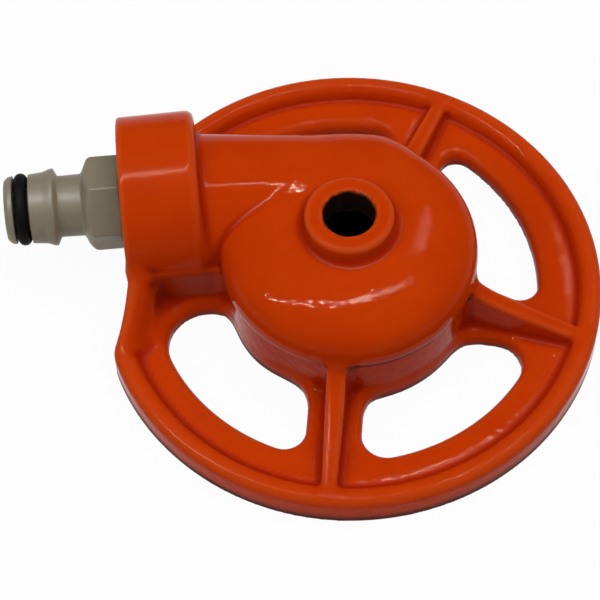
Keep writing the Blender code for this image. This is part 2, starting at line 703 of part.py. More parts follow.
def make_connector(parts, cutters, plastic):
    """Hexagon, threaded stub and nipple with the catch for a hose coupling, bored through."""
    corner = HEX_ACROSS_FLATS / math.sqrt(3)
    prism = [(0.0, SHOULDER_END), (corner, SHOULDER_END), (corner, 0.0), (0.0, 0.0)]
    body = turned("hose_connector", prism, 6, parts)
    place = Matrix.Translation((HUB_X - HEX_REACH, INLET_OFFSET, INLET_HEIGHT))
    body.matrix_world = place @ Matrix.Rotation(-math.pi / 2, 4, "Y") @ Matrix.Rotation(HEX_TURN, 4, "Z")
    body.data.materials.append(plastic)

    slope = (corner - NECK_ROOT_RADIUS) * HEX_CONE_SHARE
    cone_profile = [
        (0.0, SHOULDER_END + OVERRUN / 2),
        (NECK_ROOT_RADIUS - slope / 4, SHOULDER_END + OVERRUN / 2),
        (corner + OVERRUN / 2, HEX_END - HEX_CHAMFER),
        (corner + OVERRUN / 2, 0.5 * MM),
        (corner - HEX_FOOT_CHAMFER, -0.6 * MM),
        (0.0, -0.6 * MM),
    ]
    cone = turned("hex_chamfer", cone_profile, NIPPLE_STEPS, cutters)
    lay_along_inlet(cone, HEX_REACH)
    combine(body, cone, "INTERSECT")

    nipple = turned("nipple", nipple_profile(), NIPPLE_STEPS, cutters)
    lay_along_inlet(nipple, HEX_REACH)
    stub_profile = [
        (0.0, STUB_RELIEF_LENGTH),
        (STUB_RADIUS - STUB_RELIEF, STUB_RELIEF_LENGTH),
        (STUB_RADIUS - STUB_RELIEF, -STUB_RELIEF_LENGTH),
        (STUB_RADIUS - STUB_START_STEP, -STUB_RELIEF_LENGTH),
        (STUB_RADIUS, -STUB_START_LENGTH),
        (STUB_RADIUS, STUB_CHAMFER - STUB_LENGTH),
        (STUB_RADIUS - STUB_CHAMFER, -STUB_LENGTH),
        (0.0, -STUB_LENGTH),
    ]
    stub = turned("threaded_stub", stub_profile, NIPPLE_STEPS, cutters)
    lay_along_inlet(stub, HEX_REACH)
    for shape in (nipple, stub):
        combine(body, shape, "UNION")

    space_profile = [
        (0.0, TIP_END + OVERRUN),
        (CONNECTOR_BORE, TIP_END + OVERRUN),
        (CONNECTOR_BORE, STUB_BORE_DEPTH + STUB_BORE_CONE - STUB_LENGTH),
        (STUB_BORE, STUB_BORE_DEPTH - STUB_LENGTH),
        (STUB_BORE, -STUB_LENGTH - OVERRUN),
        (0.0, -STUB_LENGTH - OVERRUN),
    ]
    space = turned("connector_bore_space", space_profile, NIPPLE_STEPS, cutters)
    lay_along_inlet(space, HEX_REACH)
    combine(body, space, "DIFFERENCE")
    smooth(body)


def make_o_ring(parts, rubber):
    bpy.ops.mesh.primitive_torus_add(
        major_radius=O_RING_CENTRE_RADIUS,
        minor_radius=O_RING_SECTION / 2,
        major_segments=NIPPLE_STEPS,
        minor_segments=12,
    )
    ring = bpy.context.object
    ring.name = "nipple_o_ring"
    for owner in list(ring.users_collection):
        owner.objects.unlink(ring)
    parts.objects.link(ring)
    lay_along_inlet(ring, HEX_REACH + GROOVE_START + GROOVE_LENGTH / 2)
    ring.data.materials.append(rubber)
    smooth(ring)


def main():
    clear_scene()
    parts = new_collection("stationary_sprinkler")
    cutters = new_collection("cutters")
    paint = new_material("orange_enamel", (0.62, 0.075, 0.008), 0.22)
    plastic = new_material("grey_plastic", (0.30, 0.27, 0.21), 0.45)
    rubber = new_material("black_rubber", (0.012, 0.011, 0.012), 0.6)
    steel = new_material("zinc_plated_steel", (0.55, 0.56, 0.57), 0.35, 1.0)
    make_cast_body(parts, cutters, paint)
    make_base_plug(parts, steel)
    make_washer(parts, rubber)
    make_connector(parts, cutters, plastic)
    make_o_ring(parts, rubber)


main()
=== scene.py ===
"""The looks of the stationary whirl sprinkler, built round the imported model.

The casting and the hose connector are modelled as distance fields, so that every inside corner has the fillet
of a real casting or moulding, and are then turned into meshes. Lengths here are in millimetres until a mesh
is made. In the casting's field the hub's axis is the origin and the inlet points to -X.
"""

import math

import bmesh
import bpy
import numpy as np
import openvdb
from mathutils import Matrix, Vector


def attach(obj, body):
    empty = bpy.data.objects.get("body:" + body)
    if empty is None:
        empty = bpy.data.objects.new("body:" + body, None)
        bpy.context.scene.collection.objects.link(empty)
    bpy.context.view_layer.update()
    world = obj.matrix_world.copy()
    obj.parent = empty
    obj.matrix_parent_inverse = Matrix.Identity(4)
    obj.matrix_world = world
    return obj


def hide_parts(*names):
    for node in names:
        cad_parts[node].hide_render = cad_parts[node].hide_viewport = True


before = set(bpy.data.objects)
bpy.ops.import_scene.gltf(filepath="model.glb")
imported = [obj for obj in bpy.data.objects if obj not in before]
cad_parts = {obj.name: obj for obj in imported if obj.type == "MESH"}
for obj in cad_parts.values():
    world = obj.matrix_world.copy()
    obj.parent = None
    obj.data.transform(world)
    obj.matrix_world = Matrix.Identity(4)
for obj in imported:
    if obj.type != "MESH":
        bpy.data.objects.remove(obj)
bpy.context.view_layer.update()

MM = 0.001
HUB_X = 9.55
BODY = "root"

# Outlines of turned shapes go on past the axis, so that their last edge is nowhere near the surface
PAST_AXIS = -5.0

# Rim of the ring base
RING_RADIUS = 57.5
RIM_HALF_WIDTH = 2.5
RIM_TOP = 8.5
RIM_ROUND = 2.3
RIM_ROUND_OUTSIDE = 2.1
RIM_LEAN = 0.14
RIM_FILLET = 1.2
FOOT_ROUND = 0.5
DRAWN_IN_FROM = (-54.45, -13.5)
DRAWN_IN_TO = (-48.8, 9.5)
DRAWN_IN_BEND = 2.2
KNUCKLE_ROUND = 0.5
LEFT_SQUEEZE = 0.984

# Ramp by which the rim climbs to the collar. It comes in over RAMP_OUTWARD along -X, and ends over
# RAMP_FAR_END along Y.
RAMP_OUTWARD = (30.0, 38.0)
RAMP_FAR_END = (26.0, 34.0)
RAMP_START = -13.5
RAMP_BLEND = (6.0, 5.0)
RAMP_SLOPE = 0.86
RAMP_HEIGHT = 11.5
RAMP_BEND = 2.5
RAMP_FILLET = 4.5
RAMP_TOP_SETBACK = 1.5
RAMP_INNER_SLOPE = 0.45
RAMP_SPREAD = 2.4

# Web, with a shallow valley beside rim and ribs
WEB_UNDERSIDE = 1.2
WEB_TOP = 5.8
WEB_SETBACK = 1.5
WEB_EDGE_ROUND = 2.4
VALLEY_DEPTH = 0.5
VALLEY_WIDTH = 2.2

# Each window as its radius at the hub, its outer radius at the start and at the end, the lines that it runs
# between as angles, the distance it keeps from them, and its corner radii: outer at the start, outer at the
# end, at the hub at the end, at the hub at the start
WINDOWS = (
    (26.0, (44.3, 44.4), (-175.2, -99.5), (-0.2, 7.0), (9.4, 4.8, 11.0, 8.8)),
    (27.4, (44.7, 44.7), (-99.5, -15.5), (5.4, 8.35), (5.6, 6.2, 11.0, 8.5)),
    (27.4, (43.3, 44.8), (-31.7, 60.5), (13.7, 6.4), (4.2, 4.0, 5.0, 11.8)),
    (27.4, (44.5, 44.5), (60.5, 146.0), (6.0, 0.0), (5.0, 6.0, 5.0, 5.0)),
)
CORNER_STEPS = 12

# Ribs
RIB_ANGLES = (-99.5, -21.4, 60.5)
RIB_ASIDE = (0.75, 0.0, 0.0)
RIB_RIM_HALF_WIDTH = 1.7
RIB_HUB_HALF_WIDTH = 2.1
RIB_RIM_HEIGHT = 8.1
RIB_HUB_HEIGHTS = (16.0, 16.0, 11.5)
RIB_TOP_COSINE = 0.9
RIB_UNDERSIDE = 1.5
RIB_DRAFT = 0.04
RIB_ROUND = 1.0
RIB_FILLET = 1.3
RIB_ROOT_RISE = 4.0
RIB_ROOT_LENGTH = 2.6
RIB_SUNK_IN_HUB = 1.4
RIB_SHORT_OF_RIM = 0.6

# Hub, dome and boss
HUB_RADIUS = 27.7
HUB_FILLET = 0.4
BASE_FILLET = 2.0
SKIRT_ASIDE = 0.2
SKIRT_DENT = 1.3
SKIRT_DENT_ANGLE = -125.0
SKIRT_DENT_SPREAD = 15.0
DOME_RADIUS = 28.8
DOME_WIDEST = 18.5
DOME_UNDERCUT = (1.6, 1.5)
DOME_RISE = 12.3
DOME_SQUARENESS = 3.0
BOSS_RADIUS = 9.9
BOSS_FOOT = 20.0
BOSS_TOP = 35.0
BOSS_EDGE_ROUND = 1.0
BOSS_FILLET = 1.7

# Nozzle, chamber and the plug's seat
NOZZLE_RADIUS = 5.7
NOZZLE_START = 20.0
NOZZLE_LIP = 0.5
NOZZLE_FILLET = 0.6
CHAMBER_RADIUS = 24.5
CHAMBER_WALL_TOP = 16.0
CHAMBER_RISE = 11.0
PLUG_SEAT_RADIUS = 25.6
PLUG_SEAT_HEIGHT = 4.3

# Inlet collar, barrel and duct
INLET_Y = 19.05
INLET_Z = 18.55
COLLAR_REACH = 49.9
COLLAR_INNER_REACH = 32.3
COLLAR_RADIUS = 19.45
COLLAR_MOUTH_RADIUS = 19.1
COLLAR_SHOULDER_ROUND = 2.0
COLLAR_MOUTH_ROUND = 0.8
THREAD_RADIUS = 13.3
THREAD_DEPTH = 12.0
THREAD_END_ROUND = 0.4
THREAD_LIP = 0.7
BARREL_START = (-33.5, 16.6, 16.6)
BARREL_END = (6.0, 15.3, 16.6)
BARREL_RADII = (16.0, 13.7)
BARREL_FAR_WIDTH = 1.4
BARREL_FAR_HEIGHTS = (5.0, 12.0)
BARREL_COLLAR_FILLET = 1.6
DUCT_START = (-38.0, 19.05, 18.55)
DUCT_END = (0.0, 15.2, 16.6)
DUCT_RADIUS = 8.75
DUCT_FILLET = 0.8

# Saddle where barrel and dome meet. Its fillet grows over SADDLE_GROWS, and a small swell sits on it.
SADDLE_FILLET = 1.0
SADDLE_GROWTH = 0.8
SADDLE_GROWS = (-21.0, -10.0)
SWELL_AT = (-10.7, 12.4)
SWELL_SIZE = 3.8
SWELL_HEIGHT = 0.95
SWELL_ABOVE = 20.0

# Upright wall below collar and barrel. Its far side moves out over FILL_WIDENS along -X.
FILL_REACH = 47.5
FILL_FRONT = -0.5
FILL_FAR = 27.5
FILL_FAR_WIDTH = 6.8
FILL_WIDENS = (30.0, 34.0)
FILL_TOP_BELOW_AXIS = 2.0
FILL_DRAFT = 0.03
FILL_FILLET = 2.0

# Connector: distances along the inlet's axis, from the hexagon's foot outwards
HEX_REACH = 50.2
SHOULDER_END = 8.75
NECK_END = 14.1
CATCH_START = 15.0
CATCH_END = 15.5
BODY_START = 17.3
GROOVE_START = 20.6
GROOVE_END = 24.25
TIP_END = 26.15
TIP_BEVEL = 0.9
STUB_START = -0.9
STUB_LENGTH = 9.5
O_RING_CENTRE = 22.42

# Connector: radii
TIP_RADII = (6.8, 7.6)
BODY_RADII = (7.75, 7.85, 8.15)
GROOVE_RADIUS = 4.9
CATCH_RADIUS = 8.75
NECK_RADII = (6.95, 7.05)
HEX_NECK_RADIUS = 9.4
HEX_NECK_START = 1.0
STUB_RADIUS = 12.0
STUB_PITCH = 1.9
STUB_THREAD_DEPTH = 0.95
STUB_PLAIN_LENGTHS = (2.0, 0.6)
BORE_RADIUS = 4.2
BORE_PAST_TIP = 4.0
FUNNEL_RADII = (4.0, 9.0)
FUNNEL_LENGTH = 12.5
FUNNEL_SLOPE = 0.7
O_RING_RADIUS = 6.7
O_RING_SECTION = 1.52

# Connector: hexagon. The bevels are given as the directions they face, outward and along the axis.
HEX_ACROSS_FLATS = 19.0
HEX_CORNER_RADIUS = 10.97
HEX_TURN = math.radians(-16.75)
HEX_SHOULDER_BEVEL = (0.43, 0.90)
HEX_SHOULDER_ROUND = 0.8
HEX_FOOT_BEVEL = (0.5, 0.87)
HEX_FOOT_DEPTH = 0.2

# Where shade or a highlight is painted into the colour, and where the skin is duller or grainier. Pairs say
# between which places or bends a mark fades.
INSIDE_SHADE_LIMIT = 0.25
INSIDE_SHADE_FADE = 0.2
FOOT_SHADE = 0.9
FOOT_HEIGHTS = (0.8, 4.0)
UNDER_DOME_SHADE = 0.62
UNDER_DOME_DEPTHS = (0.2, 3.0)
UNDER_DOME_WIDTH = 1.6
SPECK_SCALE = 650.0
SPECK_RANGE = (0.42, 0.62)
SPECK_LEAST = 0.35
BEND_REACH = 2.0
CREST_BENDS = (0.1, 0.3)
VALLEY_BENDS = (0.03, 0.2)
BENDS_SHOW_ABOVE = (3.5, 5.5)
VALLEY_ROUGHNESS = 0.3
SOFT_ROUGHNESS = 0.1
SOFT_UP_TO = (-36.0, -28.0)
COLLAR_GRAIN = 0.25
CASTING_GRAIN = 0.35
CASTING_GRAIN_FROM = (-33.0, -10.0)
BASE_GRAIN = 0.4
BASE_GRAIN_HEIGHTS = (10.0, 20.0)

# Painted shade on the wall below the collar, fading in and out between these places
PATCH_SHADE = 0.3
PATCH_X = (-46.0, -44.0, -31.5, -29.0)
PATCH_Y = (-6.0, -4.0, 10.0, 12.0)
PATCH_Z = (6.5, 8.0, 16.5, 19.0)

# Fineness of the meshes: grid steps of the two that are made from fields, and turns of the round ones
CASTING_STEP = 0.73
CONNECTOR_STEP = 0.3
RUBBER_TURNS = 96
PLUG_TURNS = 128
CREASE_ANGLE = 50

# Camera, as degrees, millimetres and pixels of the photograph
CAMERA_ANGLES = (-3.46, 58.85, -1.8)
CAMERA_AIM = (-11.33, 0.18)
CAMERA_DISTANCE = 532.4
FOCAL_PIXELS = 2305
PHOTO_PIXELS = 600
SENSOR_WIDTH = 36.0

# Lamps and floor, in metres and watts
TUBE_HEIGHT = 1.5
TUBE_POWER = 1300.0
FLOOR_SIZE = 3.0
FLOOR_GREY = 0.68
FLOOR_GLOW = 0.96
WORLD_STRENGTH = 0.15


# Distance fields. Each gives the distance to a surface in millimetres, negative inside.


def join(a, b, fillet):
    """Either of two solids, with a fillet of this radius where they meet."""
    near = np.hypot(np.maximum(fillet - a, 0.0), np.maximum(fillet - b, 0.0))
    return np.maximum(fillet, np.minimum(a, b)) - near


def overlap(a, b, rounding):
    """What two solids share, with edges rounded to this radius."""
    near = np.hypot(np.maximum(rounding + a, 0.0), np.maximum(rounding + b, 0.0))
    return np.minimum(-rounding, np.maximum(a, b)) + near


def outline_distance(x, y, outline):
    """Distance in a plane to a closed outline of points."""
    best = np.full(np.broadcast(x, y).shape, 1e9)
    inside = np.zeros(best.shape, bool)
    for (ax, ay), (bx, by) in zip(outline, np.roll(outline, -1, axis=0)):
        ex, ey = bx - ax, by - ay
        wx, wy = x - ax, y - ay
        along = np.clip((wx * ex + wy * ey) / (ex * ex + ey * ey), 0.0, 1.0)
        best = np.minimum(best, (wx - ex * along) ** 2 + (wy - ey * along) ** 2)
        if ey:
            inside ^= ((ay > y) != (by > y)) & (wx < ex * wy / ey)
    return np.where(inside, -1.0, 1.0) * np.sqrt(best)


class Table:
    """A field over a plane, worked out once on a fine grid and read between its points."""

    def __init__(self, field, low, high, step):
        self.low, self.step = low, step
        u = np.arange(low[0], high[0] + 2 * step, step)
        v = np.arange(low[1], high[1] + 2 * step, step)
        self.values = field(u[:, None], v[None, :])

    def __call__(self, u, v):
        u = np.clip((u - self.low[0]) / self.step, 0, self.values.shape[0] - 1.001)
        v = np.clip((v - self.low[1]) / self.step, 0, self.values.shape[1] - 1.001)
        i, j = u.astype(int), v.astype(int)
        u, v = u - i, v - j
        t = self.values
        near = t[i, j] * (1 - u) + t[i + 1, j] * u
        return near * (1 - v) + (t[i, j + 1] * (1 - u) + t[i + 1, j + 1] * u) * v


def arc(centre, radius, start, end, steps):
    """Points on part of a circle, both ends among them."""
    angles = np.linspace(start, end, steps + 1)
    return [(centre[0] + radius * math.cos(a), centre[1] + radius * math.sin(a)) for a in angles]


def ring_outline():
    """The ring in plan: round, drawn in beside the collar and cut off straight under it."""
    points = []
    (from_x, from_y), (to_x, to_y) = DRAWN_IN_FROM, DRAWN_IN_TO
    for turn in np.linspace(0, 2 * math.pi, 720, endpoint=False):
        x, y = RING_RADIUS * math.cos(turn), RING_RADIUS * math.sin(turn)
        if x < 0:
            x *= LEFT_SQUEEZE
            left = max(1 - (y - from_y) / (to_y - from_y), 0.0) ** DRAWN_IN_BEND
            line = to_x - (to_x - from_x) * left
            x = (x + line + math.hypot(x - line, 2 * KNUCKLE_ROUND)) / 2
        points.append((x, y))
    return points


def window_outline(hub_side, outer_sides, lines, halves, corners):
    """A window between two lines from the hub's axis, with rounded corners. Its outer side may run askew."""
    start, end = (math.radians(angle) for angle in lines)
    quarter = math.pi / 2
    outer_start_radius, outer_end_radius, hub_end_radius, hub_start_radius = corners

    def place(line, sign, half, reach, radius):
        angle = line + sign * math.asin((half + radius) / reach)
        return angle, (reach * math.cos(angle), reach * math.sin(angle))

    reaches = (outer_sides[0] - outer_start_radius, outer_sides[1] - outer_end_radius)
    outer_start, outer_start_centre = place(start, 1, halves[0], reaches[0], outer_start_radius)
    outer_end, outer_end_centre = place(end, -1, halves[1], reaches[1], outer_end_radius)
    hub_end, hub_end_centre = place(end, -1, halves[1], hub_side + hub_end_radius, hub_end_radius)
    hub_start, hub_start_centre = place(start, 1, halves[0], hub_side + hub_start_radius, hub_start_radius)
    points = arc(outer_start_centre, outer_start_radius, start - quarter, outer_start, CORNER_STEPS)
    for share in np.linspace(0, 1, 3 * CORNER_STEPS + 1)[1:-1]:
        angle = outer_start + (outer_end - outer_start) * share
        radius = outer_sides[0] + (outer_sides[1] - outer_sides[0]) * share
        points.append((radius * math.cos(angle), radius * math.sin(angle)))
    points += arc(outer_end_centre, outer_end_radius, outer_end, end + quarter, CORNER_STEPS)
    points += arc(hub_end_centre, hub_end_radius, end + quarter, hub_end + math.pi, CORNER_STEPS)
    points += arc((0, 0), hub_side, hub_end, hub_start, 2 * CORNER_STEPS)[1:-1]
    points += arc(hub_start_centre, hub_start_radius, hub_start - math.pi, start - quarter, CORNER_STEPS)
    return points


def windows_distance(x, y):
    """Distance in plan to the nearest window, negative inside it."""
    return np.minimum.reduce([outline_distance(x, y, window_outline(*window)) for window in WINDOWS])


def squared_oval(radius, base, rise, steps):
    """Points from the top at the axis to the base at this radius."""
    turns = np.linspace(0, math.pi / 2, steps)
    power = 2 / DOME_SQUARENESS
    return [(radius * math.sin(t) ** power, base + rise * max(math.cos(t), 0) ** power) for t in turns]


def dome_profile(radius, height):
    """Dome and boss in section, as distance from the axis and height."""
    inward, down = DOME_UNDERCUT
    under = [
        (DOME_RADIUS - inward * (1 - math.cos(t)), DOME_WIDEST - down * math.sin(t))
        for t in np.linspace(0, math.pi / 2, CORNER_STEPS)[1:]
    ]
    shell = squared_oval(DOME_RADIUS, DOME_WIDEST, DOME_RISE, 90)
    dome = [*shell, *under, (PAST_AXIS, DOME_WIDEST - down), (PAST_AXIS, DOME_WIDEST + DOME_RISE)]
    boss = overlap(radius - BOSS_RADIUS, height - BOSS_TOP, BOSS_EDGE_ROUND)
    boss = np.maximum(boss, BOSS_FOOT - height)
    return join(outline_distance(radius, height, dome), boss, BOSS_FILLET)


def water_profile(radius, height):
    """Nozzle hole, chamber and the plug's seat in section."""
    ceiling = squared_oval(CHAMBER_RADIUS, CHAMBER_WALL_TOP, CHAMBER_RISE, 60)
    top = CHAMBER_WALL_TOP + CHAMBER_RISE
    chamber = [*ceiling, (CHAMBER_RADIUS, 0.0), (PAST_AXIS, 0.0), (PAST_AXIS, top)]
    space = outline_distance(radius, height, chamber)
    seat = np.maximum(radius - PLUG_SEAT_RADIUS, height - PLUG_SEAT_HEIGHT)
    nozzle = np.maximum(radius - NOZZLE_RADIUS, NOZZLE_START - height)
    return join(np.minimum(space, seat), nozzle, NOZZLE_FILLET)


def tapered(x, y, z, start, end, radii):
    """Distance to a round bar from one point to another, with round ends."""
    run = [b - a for a, b in zip(start, end)]
    length = sum(r * r for r in run)
    along = ((x - start[0]) * run[0] + (y - start[1]) * run[1] + (z - start[2]) * run[2]) / length
    along = np.clip(along, 0.0, 1.0)
    off = [p - (s + r * along) for p, s, r in zip((x, y, z), start, run)]
    radius = radii[0] + (radii[1] - radii[0]) * along
    return np.sqrt(off[0] ** 2 + off[1] ** 2 + off[2] ** 2) - radius


def rib_distance(x, y, z, angle, aside, hub_height):
    """Distance to an upright rib on a spoke, wider and swept up where it meets the dome."""
    turn = math.radians(angle)
    out = x * math.cos(turn) + y * math.sin(turn)
    across = np.abs(y * math.cos(turn) - x * math.sin(turn) + aside)
    run = RING_RADIUS - RIM_HALF_WIDTH - HUB_RADIUS
    share = np.clip((out - HUB_RADIUS) / run, 0.0, 1.0)
    swept = RIB_ROOT_RISE * np.exp(-np.maximum(out - HUB_RADIUS, 0.0) / RIB_ROOT_LENGTH)
    below = hub_height + (RIB_RIM_HEIGHT - hub_height) * share + swept - z
    half = RIB_HUB_HALF_WIDTH + (RIB_RIM_HALF_WIDTH - RIB_HUB_HALF_WIDTH) * share
    side = across - half - RIB_DRAFT * np.maximum(below, 0.0)
    rib = overlap(side, -below * RIB_TOP_COSINE, RIB_ROUND)
    rim_end = RING_RADIUS - RIM_HALF_WIDTH - RIB_SHORT_OF_RIM
    ends = np.maximum(HUB_RADIUS - RIB_SUNK_IN_HUB - out, out - rim_end)
    return np.maximum(np.maximum(rib, ends), RIB_UNDERSIDE - z)


def smooth_step(values, start, end):
    """0 up to the start, 1 from the end on, and a soft change between them."""
    share = np.clip((values - start) / (end - start), 0.0, 1.0)
    return share * share * (3 - 2 * share)


def fade_out(values, start, end):
    """1 up to the start, 0 from the end on, and a soft change between them."""
    return smooth_step(-values, -end, -start)


def between(values, places):
    """1 between the middle two of four places, and 0 outside the outer two."""
    return smooth_step(values, *places[:2]) * fade_out(values, *places[2:])


class Casting:
    """The distance to the casting's surface, with the hub's axis at the origin."""

    def __init__(self):
        plan = (-60.0, -60.0), (60.0, 60.0)
        section = (0.0, -3.0), (90.0, 42.0)
        self.ring = Table(lambda u, v: outline_distance(u, v, ring_outline()), *plan, 0.25)
        self.windows = Table(windows_distance, *plan, 0.25)
        self.dome = Table(dome_profile, *section, 0.12)
        self.water = Table(water_profile, *section, 0.15)

    def base(self, x, y, z):
        """Rim, web and ribs. The rim climbs to the collar as a ramp."""
        ring = self.ring(x, y)
        from_middle = ring + RIM_HALF_WIDTH
        beside_inlet = smooth_step(-x, *RAMP_OUTWARD)
        climb = (y - RAMP_START + np.hypot(y - RAMP_START, RAMP_BEND)) / 2 * RAMP_SLOPE
        climb = beside_inlet * fade_out(y, *RAMP_FAR_END) * np.minimum(climb, RAMP_HEIGHT)
        top = climb + RIM_TOP
        ramp = beside_inlet * smooth_step(y, RAMP_START - RAMP_BLEND[0], RAMP_START + RAMP_BLEND[1])
        spread = np.minimum(RAMP_INNER_SLOPE * np.maximum(top - z, 0.0), RAMP_SPREAD) - RAMP_TOP_SETBACK
        inner_side = -from_middle - ramp * spread - RIM_HALF_WIDTH
        lean = RIM_LEAN * np.maximum(-ring - RIM_ROUND_OUTSIDE, 0.0) * (1.0 - ramp)
        rim = overlap(overlap(inner_side, z - top + lean, RIM_ROUND), ring, RIM_ROUND_OUTSIDE)
        ribs = [rib_distance(x, y, z, *rib) for rib in zip(RIB_ANGLES, RIB_ASIDE, RIB_HUB_HEIGHTS)]
        beside = np.maximum(np.minimum(np.minimum.reduce(ribs), -from_middle - RIM_HALF_WIDTH), 0.0)
        web_top = WEB_TOP - VALLEY_DEPTH * np.exp(-((beside / VALLEY_WIDTH) ** 2)) * (1.0 - ramp)
        fillet = RIM_FILLET + (RAMP_FILLET - RIM_FILLET) * ramp
        web = join(np.maximum(ring + WEB_SETBACK, z - web_top), rim, fillet)
        web = np.maximum(web, ring)
        web = overlap(web, -self.windows(x, y), WEB_EDGE_ROUND)
        base = np.minimum(overlap(web, WEB_UNDERSIDE - z, FOOT_ROUND), overlap(rim, -z, FOOT_ROUND))
        for rib in ribs:
            base = join(base, rib, RIB_FILLET)
        return base

    def inlet(self, x, y, z):
        """Collar and barrel, with one upright wall below them that the collar's mouth stands out of."""
        reach = -x
        from_inlet = np.hypot(y - INLET_Y, z - INLET_Z)
        draft = (COLLAR_RADIUS - COLLAR_MOUTH_RADIUS) / (COLLAR_REACH - COLLAR_INNER_REACH)
        side = from_inlet - COLLAR_RADIUS + draft * (reach - COLLAR_INNER_REACH)
        collar = overlap(side, reach - COLLAR_REACH, COLLAR_MOUTH_ROUND)
        collar = overlap(collar, COLLAR_INNER_REACH - reach, COLLAR_SHOULDER_ROUND)
        widening = BARREL_FAR_WIDTH * smooth_step(z, *BARREL_FAR_HEIGHTS)
        narrowed_y = y - np.clip(y - BARREL_END[1], 0.0, widening)
        barrel = tapered(x, narrowed_y, z, BARREL_START, BARREL_END, BARREL_RADII)
        lean = FILL_DRAFT * np.maximum(INLET_Z - z, 0.0)
        far_wall = y - FILL_FAR - FILL_FAR_WIDTH * smooth_step(reach, *FILL_WIDENS) - lean
        wall = np.maximum(FILL_FRONT - y - lean, far_wall)
        wall = np.maximum(wall, x - BARREL_END[0])
        wall = overlap(wall, reach - FILL_REACH - lean, FILL_FILLET)
        fill = np.maximum(wall, z - INLET_Z + FILL_TOP_BELOW_AXIS)
        pipes = join(barrel, collar, BARREL_COLLAR_FILLET)
        return overlap(join(pipes, fill, FILL_FILLET), WEB_UNDERSIDE - z, FOOT_ROUND)

    def space(self, x, y, z):
        """Distances to the water's way and to the bore for the connector's thread."""
        from_inlet = np.hypot(y - INLET_Y, z - INLET_Z)
        thread = overlap(from_inlet - THREAD_RADIUS, COLLAR_REACH - THREAD_DEPTH + x, THREAD_END_ROUND)
        duct = tapered(x, y, z, DUCT_START, DUCT_END, (DUCT_RADIUS, DUCT_RADIUS))
        return join(self.water(np.hypot(x, y), z), duct, DUCT_FILLET), thread

    def __call__(self, x, y, z):
        from_axis = np.hypot(x, y)
        turn = np.degrees(np.arctan2(y, x)) - SKIRT_DENT_ANGLE
        dent = SKIRT_DENT * np.exp(-((turn / SKIRT_DENT_SPREAD) ** 2))
        skirt = np.hypot(x - SKIRT_ASIDE, y) - HUB_RADIUS + dent
        skirt = overlap(np.maximum(skirt, z - DOME_WIDEST), -z, FOOT_ROUND)
        hub = join(self.dome(from_axis, z), skirt, HUB_FILLET)
        saddle = SADDLE_FILLET + SADDLE_GROWTH * smooth_step(x, *SADDLE_GROWS)
        top = join(hub, self.inlet(x, y, z), saddle)
        from_swell = (x - SWELL_AT[0]) ** 2 + (y - SWELL_AT[1]) ** 2
        top = top - SWELL_HEIGHT * np.exp(-from_swell / SWELL_SIZE**2) * (z > SWELL_ABOVE)
        solid = join(top, self.base(x, y, z), BASE_FILLET)
        water, thread = self.space(x, y, z)
        return overlap(overlap(solid, -thread, THREAD_LIP), -water, NOZZLE_LIP)


def connector_profile(radius, along):
    """The connector's nipple and stub in section, as distance from the axis and along it."""
    outline = [
        (PAST_AXIS, TIP_END),
        (TIP_RADII[0], TIP_END),
        (TIP_RADII[1], TIP_END - TIP_BEVEL),
        (BODY_RADII[0], GROOVE_END),
        (GROOVE_RADIUS, GROOVE_END),
        (GROOVE_RADIUS, GROOVE_START),
        (BODY_RADII[1], GROOVE_START),
        (BODY_RADII[2], BODY_START),
        (CATCH_RADIUS, CATCH_END + 0.2),
        (CATCH_RADIUS, CATCH_START),
        (NECK_RADII[0], NECK_END),
        (NECK_RADII[1], SHOULDER_END),
        (NECK_RADII[1], HEX_NECK_START),
        (HEX_NECK_RADIUS, HEX_NECK_START),
        (HEX_NECK_RADIUS, STUB_START),
        (STUB_RADIUS, STUB_START),
        (STUB_RADIUS, -STUB_LENGTH),
        (PAST_AXIS, -STUB_LENGTH),
    ]
    return outline_distance(radius, along, outline)


class Connector:
    """The distance to the connector's surface, with the inlet's axis along Z and the hexagon's foot at 0."""

    def __init__(self):
        self.turned = Table(connector_profile, (0.0, -14.0), (20.0, 30.0), 0.05)

    def __call__(self, x, y, z):
        radius = np.hypot(x, y)
        angle = np.arctan2(y, x) - HEX_TURN
        flat = HEX_ACROSS_FLATS / 2
        sixth = math.pi / 3
        hexagon = radius * np.cos(np.mod(angle, sixth) - sixth / 2) - flat
        out, up = HEX_SHOULDER_BEVEL
        cone = (radius - NECK_RADII[1]) * out + (z - SHOULDER_END) * up
        out, down = HEX_FOOT_BEVEL
        foot = (radius - HEX_CORNER_RADIUS) * out - z * down - HEX_FOOT_DEPTH
        hexagon = overlap(overlap(hexagon, cone, HEX_SHOULDER_ROUND), np.maximum(foot, -z), 0.3)
        thread_start, thread_end = STUB_PLAIN_LENGTHS
        turn = angle / (2 * math.pi)
        wave = np.abs(np.mod((z + thread_start) / STUB_PITCH - turn, 1.0) - 0.5) * 2
        thread_length = np.maximum(z + thread_start, -z - STUB_LENGTH + thread_end)
        thread = np.maximum(radius - STUB_RADIUS - STUB_THREAD_DEPTH * wave, thread_length)
        solid = join(join(self.turned(radius, z), hexagon, 0.3), thread, 0.15)
        bore = overlap(radius - BORE_RADIUS, z - TIP_END - BORE_PAST_TIP, 0.2)
        narrow, wide = FUNNEL_RADII
        funnel = (radius - narrow) * FUNNEL_SLOPE + (z + STUB_LENGTH - FUNNEL_LENGTH) * FUNNEL_SLOPE
        funnel = np.maximum(funnel, radius - wide)
        return overlap(solid, -np.minimum(bore, funnel), 0.4)


